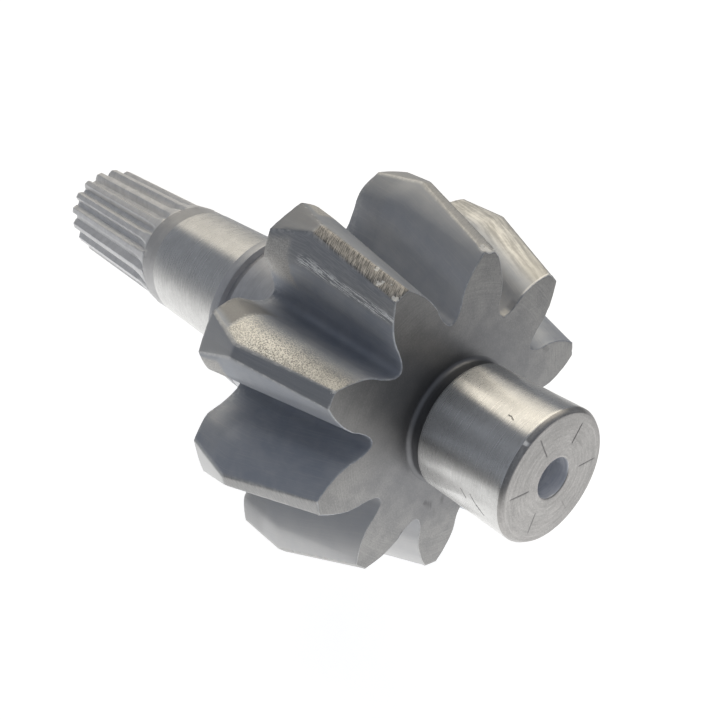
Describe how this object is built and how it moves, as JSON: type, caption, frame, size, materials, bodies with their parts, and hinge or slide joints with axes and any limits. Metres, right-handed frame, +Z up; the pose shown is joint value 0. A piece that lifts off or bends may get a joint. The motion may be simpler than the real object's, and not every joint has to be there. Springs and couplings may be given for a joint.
{
  "type": "pinion shaft",
  "caption": "Steel bevel pinion in one piece with its shaft: ground front journal with a drilled end, tapered straight teeth, grooved shoulder, bearing journal and splined rear end.",
  "frame": {"origin": "centre of the part's footprint box, on the plane it rests on", "axes": "+X along the part towards the front journal, +Z up, the shaft's own axis raised 10.6 degrees towards +X"},
  "size_m": [0.1848, 0.08, 0.0779],
  "materials": {
    "steel": "ground journals, worn tooth flanks and turned faces"
  },
  "bodies": {
    "root": {"pinion_shaft": "steel"}
  },
  "joints": []
}
